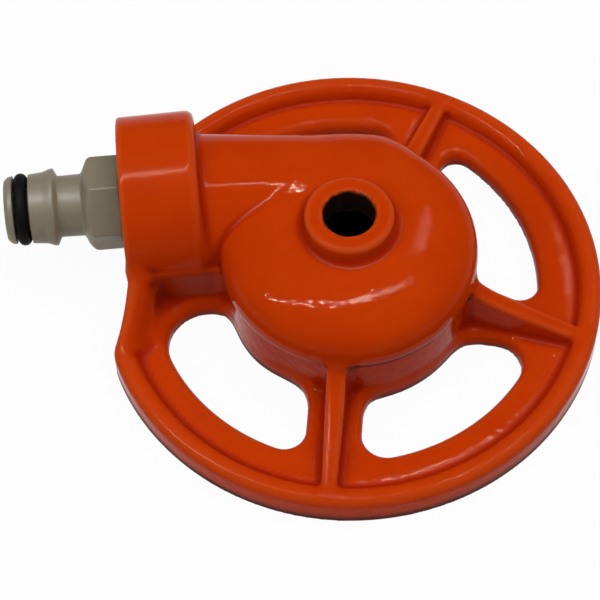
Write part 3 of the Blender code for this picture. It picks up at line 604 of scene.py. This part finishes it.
def mesh_of_field(name, field, low, high, step):
    """Turns a distance field into a mesh in metres, its points moved exactly onto the surface."""
    axes = [np.arange(a, b + step, step) for a, b in zip(low, high)]
    values = field(axes[0][:, None, None], axes[1][None, :, None], axes[2][None, None, :])
    band = 10.0
    grid = openvdb.FloatGrid(band)
    grid.copyFromArray(np.ascontiguousarray(np.clip(values / step, -band, band), np.float32))
    points, triangles, quads = grid.convertToPolygons(0.0, 0.0)
    points = points.astype(float) * step + np.asarray(low)
    reach, least_steepness, longest_shift = 0.02, 0.3, 0.3 * step
    for _ in range(3):
        x, y, z = points.T
        here = field(x, y, z)
        slope = np.stack(
            [
                field(x + reach, y, z) - field(x - reach, y, z),
                field(x, y + reach, z) - field(x, y - reach, z),
                field(x, y, z + reach) - field(x, y, z - reach),
            ],
            axis=1,
        ) / (2 * reach)
        steepness = np.maximum((slope**2).sum(1), least_steepness)
        shift = slope * (here / steepness)[:, None]
        length = np.linalg.norm(shift, axis=1, keepdims=True)
        points -= shift * np.minimum(1.0, longest_shift / np.maximum(length, 1e-9))
    faces = [tuple(reversed(q)) for q in quads.tolist()] + [tuple(reversed(t)) for t in triangles.tolist()]
    mesh = bpy.data.meshes.new(name)
    mesh.from_pydata((points * MM).tolist(), [], faces)
    shape = bmesh.new()
    shape.from_mesh(mesh)
    bmesh.ops.recalc_face_normals(shape, faces=shape.faces)
    shape.to_mesh(mesh)
    shape.free()
    mesh.shade_smooth()
    obj = bpy.data.objects.new(name, mesh)
    bpy.context.scene.collection.objects.link(obj)
    return obj


def lathe(name, profile, steps, closed):
    """A mesh turned round Z from (radius, height) points in millimetres."""
    shape = bmesh.new()
    verts = [shape.verts.new((r * MM, 0.0, z * MM)) for r, z in profile]
    edges = [shape.edges.new(pair) for pair in zip(verts, verts[1:])]
    if closed:
        edges.append(shape.edges.new((verts[-1], verts[0])))
    round_z = {"cent": (0, 0, 0), "axis": (0, 0, 1), "angle": 2 * math.pi}
    bmesh.ops.spin(shape, geom=verts + edges, steps=steps, use_merge=True, **round_z)
    bmesh.ops.remove_doubles(shape, verts=shape.verts, dist=1e-7)
    bmesh.ops.recalc_face_normals(shape, faces=shape.faces)
    mesh = bpy.data.meshes.new(name)
    shape.to_mesh(mesh)
    shape.free()
    mesh.shade_smooth()
    mesh.set_sharp_from_angle(angle=math.radians(CREASE_ANGLE))
    obj = bpy.data.objects.new(name, mesh)
    bpy.context.scene.collection.objects.link(obj)
    return obj


def lay_along_inlet(obj, reach):
    """Turns a mesh made round Z so that its +Z points out of the inlet, with its origin at this reach."""
    place = Matrix.Translation(Vector((HUB_X - reach, INLET_Y, INLET_Z)) * MM)
    obj.data.transform(place @ Matrix.Rotation(-math.pi / 2, 4, "Y"))


def keep(obj, node, material):
    """Makes the piece stand for its CAD node."""
    obj.data.materials.append(material)
    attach(obj, BODY)
    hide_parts(node)


# Materials


def link(tree, source, target):
    tree.links.new(source, target)


def node(tree, kind, **values):
    """A new shader node with these settings."""
    made = tree.nodes.new(kind)
    for key, value in values.items():
        setattr(made, key, value)
    return made


def new_group(name, inputs, outputs):
    """An empty shader node group with named inputs and outputs."""
    tree = bpy.data.node_groups.new(name, "ShaderNodeTree")
    for label, kind, value in inputs:
        socket = tree.interface.new_socket(name=label, in_out="INPUT", socket_type=kind)
        socket.default_value = value
    for label, kind in outputs:
        tree.interface.new_socket(name=label, in_out="OUTPUT", socket_type=kind)
    return tree, tree.nodes.new("NodeGroupInput"), tree.nodes.new("NodeGroupOutput")


def make_ripple_group():
    """Fine skin and broad swell of a painted or moulded surface, as a height."""
    tree, given, out = new_group(
        "skin_ripple",
        [
            ("Fine Scale", "NodeSocketFloat", 900.0),
            ("Fine Height", "NodeSocketFloat", 0.3),
            ("Broad Scale", "NodeSocketFloat", 90.0),
            ("Broad Height", "NodeSocketFloat", 1.0),
        ],
        [("Height", "NodeSocketFloat")],
    )
    place = node(tree, "ShaderNodeTexCoord")
    total = node(tree, "ShaderNodeMath", operation="ADD")
    layers = (("Fine Scale", "Fine Height", 0.5), ("Broad Scale", "Broad Height", 1.0))
    for number, (scale, height, detail) in enumerate(layers):
        pattern = node(tree, "ShaderNodeTexNoise")
        pattern.inputs["Detail"].default_value = detail
        link(tree, place.outputs["Object"], pattern.inputs["Vector"])
        link(tree, given.outputs[scale], pattern.inputs["Scale"])
        times = node(tree, "ShaderNodeMath", operation="MULTIPLY")
        link(tree, pattern.outputs["Fac"], times.inputs[0])
        link(tree, given.outputs[height], times.inputs[1])
        link(tree, times.outputs[0], total.inputs[number])
    link(tree, total.outputs[0], out.inputs["Height"])
    return tree


def make_mottle_group():
    """Two close colours in soft patches, and a roughness that follows them."""
    tree, given, out = new_group(
        "mottle",
        [
            ("Main", "NodeSocketColor", (0.5, 0.5, 0.5, 1)),
            ("Patches", "NodeSocketColor", (0.4, 0.4, 0.4, 1)),
            ("Scale", "NodeSocketFloat", 60.0),
            ("Roughness", "NodeSocketFloat", 0.3),
            ("Roughness Spread", "NodeSocketFloat", 0.1),
        ],
        [("Color", "NodeSocketColor"), ("Roughness", "NodeSocketFloat")],
    )
    place = node(tree, "ShaderNodeTexCoord")
    pattern = node(tree, "ShaderNodeTexNoise")
    pattern.inputs["Detail"].default_value = 5.0
    pattern.inputs["Roughness"].default_value = 0.6
    link(tree, place.outputs["Object"], pattern.inputs["Vector"])
    link(tree, given.outputs["Scale"], pattern.inputs["Scale"])
    ramp = node(tree, "ShaderNodeMapRange")
    ramp.inputs["From Min"].default_value = 0.35
    ramp.inputs["From Max"].default_value = 0.65
    link(tree, pattern.outputs["Fac"], ramp.inputs["Value"])
    mix = node(tree, "ShaderNodeMix", data_type="RGBA")
    link(tree, ramp.outputs["Result"], mix.inputs["Factor"])
    link(tree, given.outputs["Main"], mix.inputs["A"])
    link(tree, given.outputs["Patches"], mix.inputs["B"])
    spread = node(tree, "ShaderNodeMath", operation="MULTIPLY_ADD")
    link(tree, ramp.outputs["Result"], spread.inputs[0])
    link(tree, given.outputs["Roughness Spread"], spread.inputs[1])
    link(tree, given.outputs["Roughness"], spread.inputs[2])
    link(tree, mix.outputs["Result"], out.inputs["Color"])
    link(tree, spread.outputs[0], out.inputs["Roughness"])
    return tree


def make_finish(name, groups, mottle, ripple, bump, metallic=0.0, specular=0.5, tint=(1.0, 1.0, 1.0)):
    """A material with mottled colour and a rippled skin. The bump's distance is in metres."""
    made = bpy.data.materials.new(name)
    made.use_nodes = True
    tree = made.node_tree
    shader = tree.nodes["Principled BSDF"]
    shader.inputs["Metallic"].default_value = metallic
    shader.inputs["Specular IOR Level"].default_value = specular
    shader.inputs["Specular Tint"].default_value = (*tint, 1.0)
    colour = node(tree, "ShaderNodeGroup", node_tree=groups["mottle"])
    for key, value in mottle.items():
        colour.inputs[key].default_value = value
    link(tree, colour.outputs["Color"], shader.inputs["Base Color"])
    link(tree, colour.outputs["Roughness"], shader.inputs["Roughness"])
    skin = node(tree, "ShaderNodeGroup", node_tree=groups["ripple"])
    for key, value in ripple.items():
        skin.inputs[key].default_value = value
    relief = node(tree, "ShaderNodeBump")
    relief.inputs["Distance"].default_value = bump
    relief.inputs["Strength"].default_value = 1.0
    link(tree, skin.outputs["Height"], relief.inputs["Height"])
    link(tree, relief.outputs["Normal"], shader.inputs["Normal"])
    return made


def mix_into(tree, target, data_type, share, value):
    """Puts this share of one value over what already feeds the input."""
    mix = node(tree, "ShaderNodeMix", data_type=data_type)
    link(tree, share, mix.inputs["Factor"])
    link(tree, target.links[0].from_socket, mix.inputs["A"])
    mix.inputs["B"].default_value = value
    link(tree, mix.outputs["Result"], target)


def follow_marks(material, shade_colour, shade_roughness, crest_highlight_colour, valley_shade_colour):
    """Painted highlight on crests, painted shade in valleys and nearly black, dull painted shade in shaded
    places, a duller gloss and a grainier skin where the mesh is marked for them.
    """
    tree = material.node_tree
    shader = tree.nodes["Principled BSDF"]
    colour, roughness = shader.inputs["Base Color"], shader.inputs["Roughness"]
    height = tree.nodes["Bump"].inputs["Height"]
    marks = {
        label: node(tree, "ShaderNodeAttribute", attribute_name=label)
        for label in ("grain", "soft", "valley_shade", "crest_highlight", "painted_shade")
    }
    grainy = node(tree, "ShaderNodeMath", operation="MULTIPLY")
    link(tree, height.links[0].from_socket, grainy.inputs[0])
    link(tree, marks["grain"].outputs["Fac"], grainy.inputs[1])
    link(tree, grainy.outputs[0], height)
    for label, added in (("soft", SOFT_ROUGHNESS), ("valley_shade", VALLEY_ROUGHNESS)):
        duller = node(tree, "ShaderNodeMath", operation="MULTIPLY_ADD")
        link(tree, marks[label].outputs["Fac"], duller.inputs[0])
        duller.inputs[1].default_value = added
        link(tree, roughness.links[0].from_socket, duller.inputs[2])
        link(tree, duller.outputs[0], roughness)
    # A painted highlight on crests, broken into specks
    speck = node(tree, "ShaderNodeTexNoise")
    speck.inputs["Scale"].default_value = SPECK_SCALE
    speck.inputs["Detail"].default_value = 1.0
    spread = node(tree, "ShaderNodeMapRange")
    spread.inputs["From Min"].default_value, spread.inputs["From Max"].default_value = SPECK_RANGE
    spread.inputs["To Min"].default_value = SPECK_LEAST
    link(tree, speck.outputs["Fac"], spread.inputs["Value"])
    speckled = node(tree, "ShaderNodeMath", operation="MULTIPLY")
    link(tree, marks["crest_highlight"].outputs["Fac"], speckled.inputs[0])
    link(tree, spread.outputs["Result"], speckled.inputs[1])
    # Painted shade in valleys
    mix_into(tree, colour, "RGBA", marks["valley_shade"].outputs["Fac"], valley_shade_colour)
    # Painted highlight on crests
    mix_into(tree, colour, "RGBA", speckled.outputs[0], crest_highlight_colour)
    # Painted shade, nearly black and dull, in the water's way, near the floor, under the dome's edge and
    # partly below the collar
    mix_into(tree, colour, "RGBA", marks["painted_shade"].outputs["Fac"], shade_colour)
    mix_into(tree, roughness, "FLOAT", marks["painted_shade"].outputs["Fac"], shade_roughness)


def make_materials():
    groups = {"ripple": make_ripple_group(), "mottle": make_mottle_group()}
    made = {
        "orange_enamel": make_finish(
            "orange_enamel",
            groups,
            {
                "Main": (0.61, 0.047, 0.0013, 1),
                "Patches": (0.57, 0.040, 0.0010, 1),
                "Scale": 60.0,
                "Roughness": 0.045,
                "Roughness Spread": 0.03,
            },
            {"Fine Scale": 700.0, "Fine Height": 0.7, "Broad Scale": 420.0, "Broad Height": 0.4},
            0.00015,
            specular=0.03,
            tint=(1.0, 0.8, 0.6),
        ),
        "grey_plastic": make_finish(
            "grey_plastic",
            groups,
            {
                "Main": (0.268, 0.232, 0.157, 1),
                "Patches": (0.240, 0.207, 0.138, 1),
                "Scale": 150.0,
                "Roughness": 0.42,
                "Roughness Spread": 0.1,
            },
            {"Fine Scale": 2500.0, "Fine Height": 0.5, "Broad Scale": 200.0, "Broad Height": 0.6},
            0.00002,
            specular=0.3,
        ),
        "black_rubber": make_finish(
            "black_rubber",
            groups,
            {
                "Main": (0.004, 0.003, 0.004, 1),
                "Patches": (0.007, 0.005, 0.007, 1),
                "Scale": 400.0,
                "Roughness": 0.5,
                "Roughness Spread": 0.2,
            },
            {"Fine Scale": 3000.0, "Fine Height": 0.5, "Broad Scale": 300.0, "Broad Height": 0.5},
            0.00002,
            specular=0.05,
        ),
        "zinc_plated_steel": make_finish(
            "zinc_plated_steel",
            groups,
            {
                "Main": (0.56, 0.57, 0.58, 1),
                "Patches": (0.46, 0.47, 0.49, 1),
                "Scale": 220.0,
                "Roughness": 0.28,
                "Roughness Spread": 0.16,
            },
            {"Fine Scale": 1800.0, "Fine Height": 0.3, "Broad Scale": 150.0, "Broad Height": 0.6},
            0.00003,
            metallic=1.0,
        ),
    }
    # The marks paint shade and highlight into the enamel's colour
    follow_marks(
        made["orange_enamel"],
        shade_colour=(0.02, 0.008, 0.005, 1),
        shade_roughness=0.55,
        crest_highlight_colour=(0.68, 0.085, 0.014, 1),
        valley_shade_colour=(0.42, 0.018, 0.0005, 1),
    )
    return made


# Pieces


def bend_of(obj, casting, places):
    """How far the surface bends away from its tangent plane: above 0 on a crest, below 0 in a valley."""
    normals = np.empty(len(obj.data.vertices) * 3)
    obj.data.vertices.foreach_get("normal", normals)
    normals = normals.reshape(-1, 3)
    level = np.abs(normals[:, 2:]) < 0.7
    across = np.cross(normals, np.where(level, [[0.0, 0.0, 1.0]], [[1.0, 0.0, 0.0]]))
    across /= np.linalg.norm(across, axis=1)[:, None]
    along = np.cross(normals, across)
    total = sum(casting(*(places + BEND_REACH * way).T) for way in (across, -across, along, -along))
    return total / 4.0 / BEND_REACH


def mark_surface(obj, casting):
    """Notes at every point where shade or highlight is painted, and how the cast skin is there.

    The water's way and the foot get painted shade, nearly black and dull, and the band under the dome's edge
    and the wall below the collar get it partly. Crests get a painted highlight, and valleys painted shade and
    a duller gloss. The turned collar has the least grain and a softer gloss, and the base has the most grain.
    """
    places = np.empty(len(obj.data.vertices) * 3)
    obj.data.vertices.foreach_get("co", places)
    places = places.reshape(-1, 3) / MM
    x, y, z = places.T
    bend = bend_of(obj, casting, places)
    shows = smooth_step(z, *BENDS_SHOW_ABOVE)
    # Painted shade inside the water's way, near the floor and under the dome's edge
    inside = np.clip((INSIDE_SHADE_LIMIT - np.minimum(*casting.space(x, y, z))) / INSIDE_SHADE_FADE, 0.0, 1.0)
    highest, lowest = (DOME_WIDEST - depth for depth in UNDER_DOME_DEPTHS)
    from_hub = np.abs(np.hypot(x, y) - HUB_RADIUS)
    under_dome = (z < highest) & (z > lowest) & (from_hub < UNDER_DOME_WIDTH)
    # Painted shade on the wall that the collar shades
    patch = between(x, PATCH_X) * between(y, PATCH_Y) * between(z, PATCH_Z)
    painted_shade = np.maximum(inside, FOOT_SHADE * fade_out(z, *FOOT_HEIGHTS))
    painted_shade = np.maximum(painted_shade, UNDER_DOME_SHADE * under_dome)
    away_from_collar = CASTING_GRAIN * smooth_step(x, *CASTING_GRAIN_FROM)
    # Crests get a painted highlight, and valleys painted shade
    marks = {
        "painted_shade": np.maximum(painted_shade, PATCH_SHADE * patch),
        "grain": COLLAR_GRAIN + away_from_collar + BASE_GRAIN * fade_out(z, *BASE_GRAIN_HEIGHTS),
        "soft": 1.0 - smooth_step(x, *SOFT_UP_TO),
        "crest_highlight": shows * smooth_step(bend, *CREST_BENDS),
        "valley_shade": shows * smooth_step(-bend, *VALLEY_BENDS),
    }
    for label, values in marks.items():
        obj.data.attributes.new(label, "FLOAT", "POINT").data.foreach_set("value", values)


def make_casting(materials):
    casting = Casting()
    low, high = (-60.5, -60.5, -2.0), (60.5, 60.5, 40.0)
    obj = mesh_of_field("casting", casting, low, high, CASTING_STEP)
    mark_surface(obj, casting)
    obj.data.transform(Matrix.Translation((HUB_X * MM, 0, 0)))
    keep(obj, "cast_body", materials["orange_enamel"])


def make_connector(materials):
    low, high = (-14.0, -14.0, -11.0), (14.0, 14.0, 28.0)
    obj = mesh_of_field("quick_connector", Connector(), low, high, CONNECTOR_STEP)
    lay_along_inlet(obj, HEX_REACH)
    keep(obj, "hose_connector", materials["grey_plastic"])


def make_o_ring(materials):
    section = [
        (O_RING_RADIUS + O_RING_SECTION * math.cos(a), O_RING_SECTION * math.sin(a))
        for a in np.linspace(2 * math.pi, 0, 28, endpoint=False)
    ]
    obj = lathe("o_ring", section, RUBBER_TURNS, closed=True)
    lay_along_inlet(obj, HEX_REACH + O_RING_CENTRE)
    keep(obj, "nipple_o_ring", materials["black_rubber"])


def make_washer(materials):
    """The flat washer at the bottom of the thread bore, a small gap away from it."""
    inner, outer, half_thickness, edge, gap = 8.0, 13.0, 1.1, 0.25, 0.3
    quarter = math.pi / 2
    level = half_thickness - edge
    section = [
        *arc((outer - edge, level), edge, quarter, 0, 4),
        *arc((outer - edge, -level), edge, 0, -quarter, 4),
        *arc((inner + edge, -level), edge, -quarter, -math.pi, 4),
        *arc((inner + edge, level), edge, math.pi, quarter, 4),
    ]
    obj = lathe("washer", section, RUBBER_TURNS, closed=True)
    lay_along_inlet(obj, COLLAR_REACH - THREAD_DEPTH + gap + half_thickness)
    keep(obj, "inlet_washer", materials["black_rubber"])


def make_plug(materials):
    """The pressed cup below the chamber, with a shallow bead round its underside."""
    outer, top, recess, wall, corner, edge = 25.3, 4.0, 1.0, 1.2, 1.6, 0.3
    bead = ((18.0, 0.0), (17.2, 0.25), (16.0, 0.35), (14.8, 0.25), (14.0, 0.0))
    quarter = math.pi / 2
    section = [
        (0.0, top),
        *arc((outer - corner, top - corner), corner, quarter, 0, 8),
        *arc((outer - edge, recess + edge), edge, 0, -quarter, 3),
        *arc((outer - wall + edge, recess + edge), edge, -quarter, -math.pi, 3),
        *arc((outer - corner, top - corner), corner - wall, 0, quarter, 5),
        *((radius, top - wall - depth) for radius, depth in bead),
        (0.0, top - wall),
    ]
    obj = lathe("chamber_plug", section, PLUG_TURNS, closed=False)
    obj.data.transform(Matrix.Translation((HUB_X * MM, 0, 0)))
    keep(obj, "base_plug", materials["zinc_plated_steel"])


# Stage


def make_camera():
    """The photograph's own camera, fitted to the ring, the dome's edge, the boss and the inlet."""
    azimuth, elevation, roll = (math.radians(angle) for angle in CAMERA_ANGLES)
    target = Vector((HUB_X + CAMERA_AIM[0], CAMERA_AIM[1], 0.0)) * MM
    back = Vector(
        (
            math.sin(azimuth) * math.cos(elevation),
            -math.cos(azimuth) * math.cos(elevation),
            math.sin(elevation),
        )
    )
    right = Vector((math.cos(azimuth), math.sin(azimuth), 0.0))
    up = back.cross(right)
    turned_right = right * math.cos(roll) + up * math.sin(roll)
    turned_up = up * math.cos(roll) - right * math.sin(roll)
    data = bpy.data.cameras.new("photo_camera")
    data.sensor_width = SENSOR_WIDTH
    data.lens = SENSOR_WIDTH * FOCAL_PIXELS / PHOTO_PIXELS
    data.clip_start = 0.01
    camera = bpy.data.objects.new("photo_camera", data)
    bpy.context.scene.collection.objects.link(camera)
    turn = Matrix((turned_right, turned_up, back)).transposed().to_4x4()
    camera.matrix_world = Matrix.Translation(target + back * CAMERA_DISTANCE * MM) @ turn
    bpy.context.scene.camera = camera


def make_floor():
    """A pale table that shows nearly white to the camera and in reflections, and keeps the shadow."""
    mesh = bpy.data.meshes.new("floor")
    shape = bmesh.new()
    bmesh.ops.create_grid(shape, x_segments=8, y_segments=8, size=FLOOR_SIZE)
    shape.to_mesh(mesh)
    shape.free()
    floor = bpy.data.objects.new("floor", mesh)
    bpy.context.scene.collection.objects.link(floor)
    material = bpy.data.materials.new("pale_table")
    material.use_nodes = True
    tree = material.node_tree
    shader = tree.nodes["Principled BSDF"]
    shader.inputs["Base Color"].default_value = (FLOOR_GREY, FLOOR_GREY, FLOOR_GREY, 1)
    shader.inputs["Roughness"].default_value = 0.9
    shader.inputs["Specular IOR Level"].default_value = 0.1
    glow = node(tree, "ShaderNodeEmission")
    glow.inputs["Strength"].default_value = 1.0
    rays = node(tree, "ShaderNodeLightPath")
    seen = node(tree, "ShaderNodeMath", operation="ADD", use_clamp=True)
    link(tree, rays.outputs["Is Camera Ray"], seen.inputs[0])
    link(tree, rays.outputs["Is Glossy Ray"], seen.inputs[1])
    share = node(tree, "ShaderNodeMath", operation="MULTIPLY")
    share.inputs[1].default_value = FLOOR_GLOW
    link(tree, seen.outputs[0], share.inputs[0])
    mix = node(tree, "ShaderNodeMixShader")
    link(tree, share.outputs[0], mix.inputs["Fac"])
    link(tree, shader.outputs["BSDF"], mix.inputs[1])
    link(tree, glow.outputs["Emission"], mix.inputs[2])
    link(tree, mix.outputs["Shader"], tree.nodes["Material Output"].inputs["Surface"])
    floor.data.materials.append(material)


def make_lamp(name, place, target, size, watts, glossy=True, diffuse=True):
    """A flat rectangular lamp that faces the target."""
    data = bpy.data.lights.new(name, "AREA")
    data.shape = "RECTANGLE"
    data.size, data.size_y = size
    data.energy = watts
    lamp = bpy.data.objects.new(name, data)
    bpy.context.scene.collection.objects.link(lamp)
    lamp.location = place
    lamp.rotation_euler = (Vector(target) - Vector(place)).to_track_quat("-Z", "Y").to_euler()
    lamp.visible_glossy = glossy
    lamp.visible_diffuse = diffuse
    return lamp


def make_tube(name, start, end, width):
    """A thin lamp over the line between two points in plan, which only shows as a reflection."""
    middle = ((start[0] + end[0]) / 2, (start[1] + end[1]) / 2)
    length = math.dist(start, end)
    watts = TUBE_POWER * length * width
    lamp = make_lamp(name, (*middle, TUBE_HEIGHT), (*middle, 0), (length, width), watts, diffuse=False)
    lamp.rotation_euler.z = math.atan2(end[1] - start[1], end[0] - start[0])


def make_light():
    world = bpy.data.worlds.new("studio")
    bpy.context.scene.world = world
    world.use_nodes = True
    background = world.node_tree.nodes["Background"]
    background.inputs["Color"].default_value = (1.0, 1.0, 1.0, 1)
    background.inputs["Strength"].default_value = WORLD_STRENGTH
    make_lamp("overhead_softbox", (0.35, 0.05, 1.4), (0, 0, 0), (1.8, 1.8), 17.5, glossy=False)
    make_lamp("left_softbox", (-0.9, -0.25, 0.9), (0, 0, 0), (0.6, 0.6), 3.6, glossy=False)
    make_tube("long_tube_left", (-1.53, -0.105), (-0.375, -0.05), 0.025)
    make_tube("long_tube_right", (-0.375, -0.05), (0.6, 0.3), 0.02)
    make_tube("side_tube", (0.56, 0.66), (0.82, 1.15), 0.008)


def set_view():
    scene = bpy.context.scene
    scene.view_settings.view_transform = "Standard"


def main():
    materials = make_materials()
    make_casting(materials)
    make_connector(materials)
    make_o_ring(materials)
    make_washer(materials)
    make_plug(materials)
    make_camera()
    make_floor()
    make_light()
    set_view()


main()
